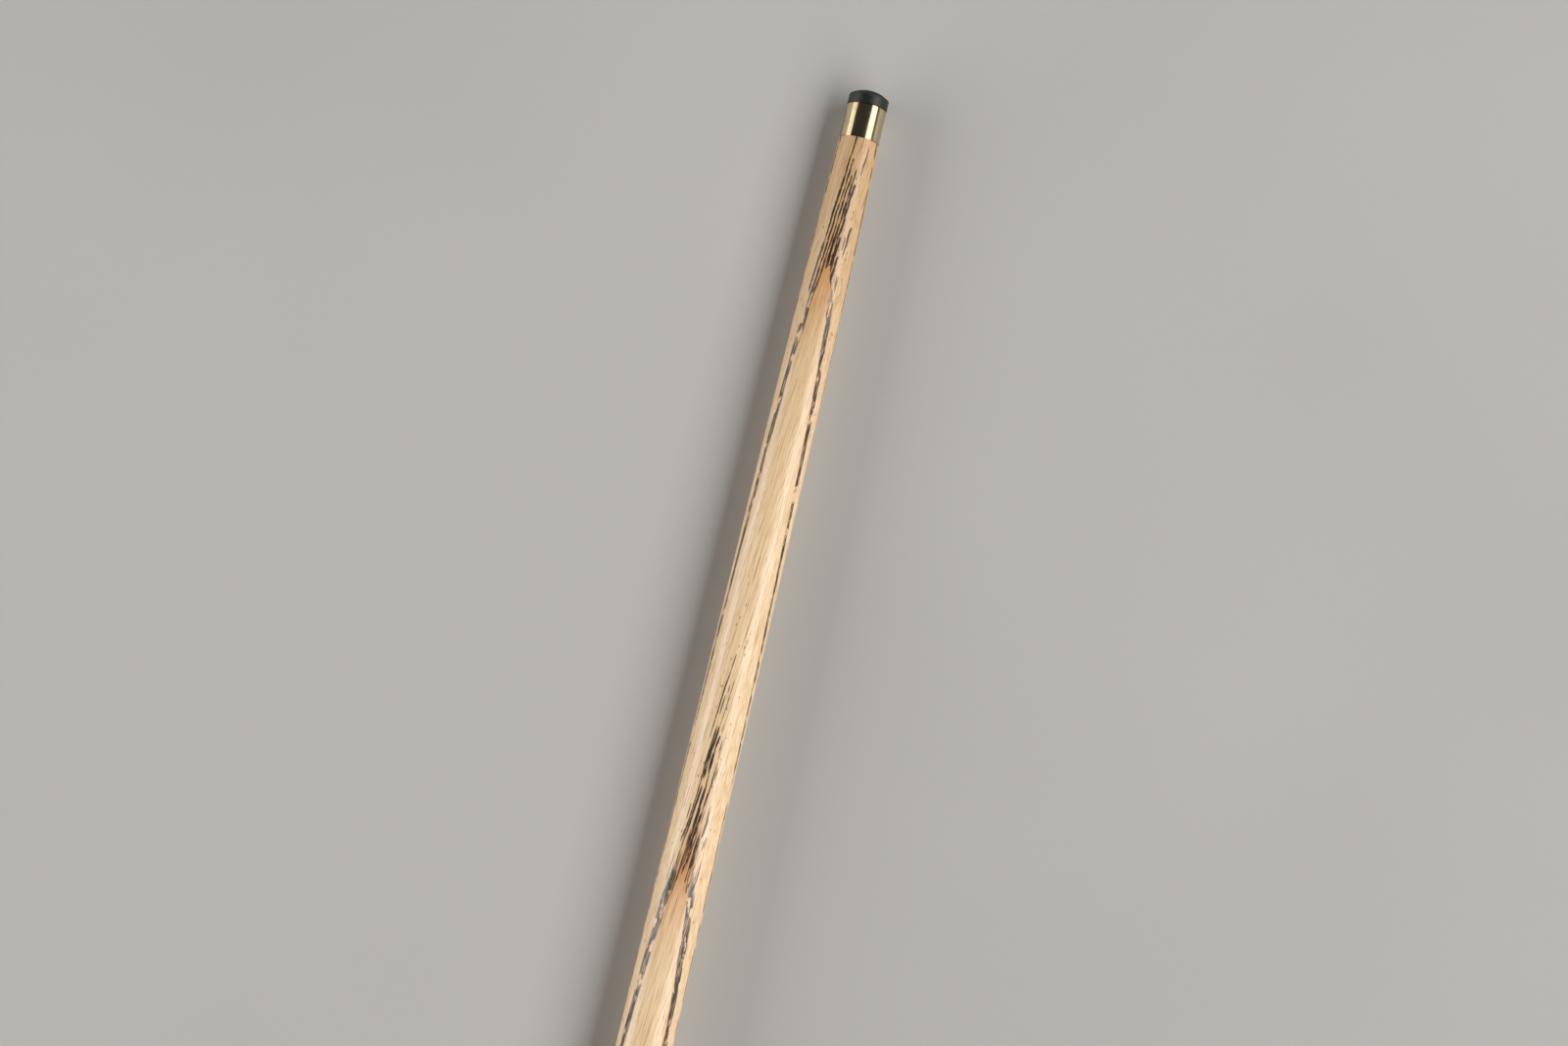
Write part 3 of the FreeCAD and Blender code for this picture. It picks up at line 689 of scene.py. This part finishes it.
for side, roll in SIDES:
    first_pair = side in ("top", "bottom")
    point = slice_off(slice_off(blank(), *CORE, -1, roll), *UNDER_VENEER, 1, roll)
    for flank in (roll + 90, roll - 90):
        slice_off(point, *(CORE if first_pair else UNDER_VENEER), 1, flank)
    make("ebony_point_" + side, point, ebony, "butt", "ebony", "ebony_splice_" + side)

    layer = slice_off(slice_off(blank(), *UNDER_VENEER, -1, roll), *UNDER_ACCENT, 1, roll)
    make("veneer_line_" + side, layer, maple, "butt", "maple_veneer", "veneer_" + side)

    outer = slice_off(blank(), *UNDER_ACCENT, -1, roll)
    if side == "top":
        slice_off(outer, *FLAT, 1)
    make("accent_point_" + side, outer, rosewood, "butt", "accent_wood", "accent_splice_" + side)

# ---------------------------------------------------------------- butt fittings
NOSE_RADIUS, FLANGE_RADIUS, THREAD_RADIUS, THREAD_LENGTH = 6.0, 14.45, 4.5, 28.0
GROOVE_DEPTH, SOCKET_PLAIN, MOUTH_RADIUS = 0.6, 0.05, 5.0


def socket_thread(x, radius, turn):
    """Cuts the extension socket's thread outwards from its bore."""
    inside = SOCKET_PLAIN < x < THREAD_LENGTH - SOCKET_PLAIN
    if abs(radius - THREAD_RADIUS) > SAME_RADIUS or not inside:
        return radius
    return THREAD_RADIUS + GROOVE_DEPTH * (1 - ridge(x, turn))


end_outline = [
    (SOCKET_FACE, MOUTH_RADIUS), (SOCKET_FACE, NOSE_RADIUS - EDGE),
    (SOCKET_FACE + EDGE, NOSE_RADIUS), (BUMPER_BACK, NOSE_RADIUS), (BUMPER_BACK, FLANGE_RADIUS - EDGE),
    (BUMPER_BACK + EDGE, FLANGE_RADIUS), (BUTT_START, FLANGE_RADIUS),
    (BUTT_START, BARREL_RADIUS), (SOCKET_END, BARREL_RADIUS), (SOCKET_END, 0), (THREAD_LENGTH, 0),
]
end_outline += [(x, THREAD_RADIUS) for x in reversed(stations(0.0, THREAD_LENGTH))]
end_mesh = slice_off(lathe(end_outline, THREAD_ROUND, socket_thread), *FLAT, 1)
make("extension_socket_brass", end_mesh, joint_brass, "butt", "joint_brass", "extension_socket")

BUMPER_HOLE, BUMPER_ROUND, BUMPER_LIP, BUMPER_BEVEL = 6.1, 2.2, 0.8, 0.3
bumper_outline = arc((BUMPER_FACE + BUMPER_LIP, BUMPER_HOLE + BUMPER_LIP), BUMPER_LIP, 270, 180, 8)
bumper_outline += arc((BUMPER_FACE + BUMPER_ROUND, BUMPER_RADIUS - BUMPER_ROUND), BUMPER_ROUND,
                      180, 90, 14)
bumper_outline += [(BUMPER_BACK - BUMPER_BEVEL, BUMPER_RADIUS),
                   (BUMPER_BACK, BUMPER_RADIUS - BUMPER_BEVEL), (BUMPER_BACK, BUMPER_HOLE)]
bumper_mesh = slice_off(lathe(bumper_outline), *FLAT, 1)
slice_off(bumper_mesh, BUMPER_FOOT, BUMPER_FOOT, 1, 180)
make("bumper_ring", bumper_mesh, rubber, "butt", "bumper_rubber", "bumper")


def plate(length, width, thickness, bevel, segments=24):
    """A flat plate with round ends and bevelled upper edges, lying on z = 0, middle at x = 0."""
    mesh = bmesh.new()
    rims = []
    for height, inset in ((0, 0), (thickness - bevel, 0), (thickness, bevel)):
        radius = width / 2 - inset
        centre = (length - width) / 2
        rim = []
        for end, start in ((centre, -90), (-centre, 90)):
            for x, y in arc((end, 0), radius, start, start + 180, segments):
                rim.append(mesh.verts.new((x, y, height)))
        rims.append(rim)
    for lower, upper in zip(rims, rims[1:]):
        for index in range(len(lower)):
            following = (index + 1) % len(lower)
            mesh.faces.new((lower[index], lower[following], upper[following], upper[index]))
    mesh.faces.new(list(reversed(rims[0])))
    mesh.faces.new(rims[-1])
    return mesh


BADGE_OFFSET, BADGE_LENGTH, BADGE_WIDTH, BADGE_PROUD = 30.0, 38.0, 9.0, 0.1
BADGE_THICKNESS, BADGE_BEVEL = 0.9, 0.15
rise = (FLAT[1] - FLAT[0]) / (BUTT_END - BUTT_START)
badge = plate(BADGE_LENGTH, BADGE_WIDTH, BADGE_THICKNESS, BADGE_BEVEL)
badge_height = FLAT[0] + BADGE_OFFSET * rise - BADGE_THICKNESS + BADGE_PROUD
badge.transform(Matrix.Translation((BUTT_START + BADGE_OFFSET, 0, badge_height))
                @ Matrix.Rotation(-math.atan(rise), 4, "Y"))
make("badge_plain", badge, badge_brass, "butt", "badge_brass", "badge_plate")

# The weight rod stays as its CAD node, hidden in the core, and only gets its material.
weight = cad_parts["weight_rod"]
weight.data.materials.clear()
weight.data.materials.append(steel)

# ---------------------------------------------------------------- stage, light and camera
# The cue lies on its bumper's foot and its tip, so the floor tilts with the line between them.
floor_tilt = math.atan((BUMPER_FOOT - TIP_RADIUS) / (FERRULE_END - BUMPER_BACK))
FLOOR_SIZE, FLOOR_GAP = 6.8, 0.00005
FLOOR_TONES = tone(180, 179, 177), tone(186, 185, 183)
FLOOR_CLOUD = 250.0


def pale_floor():
    """Plain pale paint with faint, wide clouds."""
    g = Graph("floor_paint")
    x, y, z = g.place()
    spread = 1 / FLOOR_CLOUD
    cloud = g.noise(g.vector(g.mul(x, spread), g.mul(y, spread), 0.0), detail=3.0)
    return g.finish(Base_Color=g.mix(g.fade(cloud, 0.3, 0.7), *FLOOR_TONES), Roughness=0.85)


mesh = bmesh.new()
bmesh.ops.create_grid(mesh, x_segments=8, y_segments=8, size=FLOOR_SIZE / 2)
floor_data = bpy.data.meshes.new("floor")
mesh.to_mesh(floor_data)
mesh.free()
floor_data.materials.append(pale_floor())
floor = bpy.data.objects.new("floor", floor_data)
floor.rotation_euler = (0, -floor_tilt, 0)
floor.location = (BUMPER_BACK * MM, 0, -BUMPER_FOOT * MM - FLOOR_GAP)
bpy.context.scene.collection.objects.link(floor)


# Strip lights along the cue, in metres: name, angle from straight up towards +Y in degrees, start
# and end along the cue, width, radiance and colour. The stretches that the ferrule reflects to the
# camera are dimmer, so that its two stripes keep the colour of brass.
STRIP_DISTANCE = 4.0
WARM, PLAIN = (1.0, 0.98, 0.95), (1.0, 0.98, 0.97)
STRIPS = (
    ("window_right", -49, -3.8, 2.42, 2.35, 4.55, WARM),
    ("window_right_bar", -49, 2.42, 2.95, 2.35, 1.9, WARM),
    ("window_right_end", -49, 2.95, 5.2, 2.35, 4.55, WARM),
    ("window_left", 70, -3.8, 2.0, 2.0, 4.5, WARM),
    ("window_left_end", 70, 2.0, 5.2, 2.0, 1.2, PLAIN),
)


def strip(name, angle, start, end, width, radiance, colour):
    """A rectangular area light along the cue, facing it from STRIP_DISTANCE away."""
    turn = math.radians(angle)
    middle = (start + end) / 2
    data = bpy.data.lights.new(name, "AREA")
    data.shape = "RECTANGLE"
    data.size, data.size_y = end - start, width
    data.energy = radiance * math.pi * width * (end - start)
    data.color = colour
    light = bpy.data.objects.new(name, data)
    light.location = (middle, STRIP_DISTANCE * math.sin(turn), STRIP_DISTANCE * math.cos(turn))
    down = (Vector((middle, 0, 0)) - light.location).normalized()
    along = Vector((1, 0, 0))
    across = down.cross(along).normalized()
    light.rotation_euler = Matrix((along, -across, -down)).transposed().to_euler()
    bpy.context.scene.collection.objects.link(light)


for row in STRIPS:
    strip(*row)

# The sky is pale at the horizon and dark overhead.
SKY_COLOUR = (0.97, 0.96, 0.95, 1)
SKY_LEVELS = ("From Min", 0.0), ("From Max", 0.3), ("To Min", 0.62), ("To Max", 0.042)
world = bpy.data.worlds.new("studio")
world.use_nodes = True
sky = world.node_tree
direction = sky.nodes.new("ShaderNodeTexCoord")
height = sky.nodes.new("ShaderNodeSeparateXYZ")
level = sky.nodes.new("ShaderNodeMapRange")
level.interpolation_type = "SMOOTHSTEP"
for key, value in SKY_LEVELS:
    level.inputs[key].default_value = value
sky.links.new(direction.outputs["Generated"], height.inputs[0])
sky.links.new(height.outputs[2], level.inputs["Value"])
sky.links.new(level.outputs[0], sky.nodes["Background"].inputs[1])
sky.nodes["Background"].inputs[0].default_value = SKY_COLOUR
bpy.context.scene.world = world
bpy.context.scene.view_settings.view_transform = "Standard"

# The camera looks steeply down on the tip end of the cue.
CAMERA_PLACE = (1.2840, -0.0200, 0.5869)
CAMERA_DROP = math.radians(83.006)
CAMERA_HEADING = math.radians(13.237)
LENS = 59.1
forward = Vector((math.cos(CAMERA_DROP) * math.cos(CAMERA_HEADING),
                  math.cos(CAMERA_DROP) * math.sin(CAMERA_HEADING), -math.sin(CAMERA_DROP)))
right = Vector((math.sin(CAMERA_HEADING), -math.cos(CAMERA_HEADING), 0))
upward = right.cross(forward)
camera_data = bpy.data.cameras.new("camera")
camera_data.lens = LENS
camera_data.sensor_width = 36
camera_data.clip_start = 0.02
camera = bpy.data.objects.new("camera", camera_data)
camera.matrix_world = Matrix.Translation(CAMERA_PLACE) @ Matrix(
    (right, upward, -forward)).transposed().to_4x4()
bpy.context.scene.collection.objects.link(camera)
bpy.context.scene.camera = camera
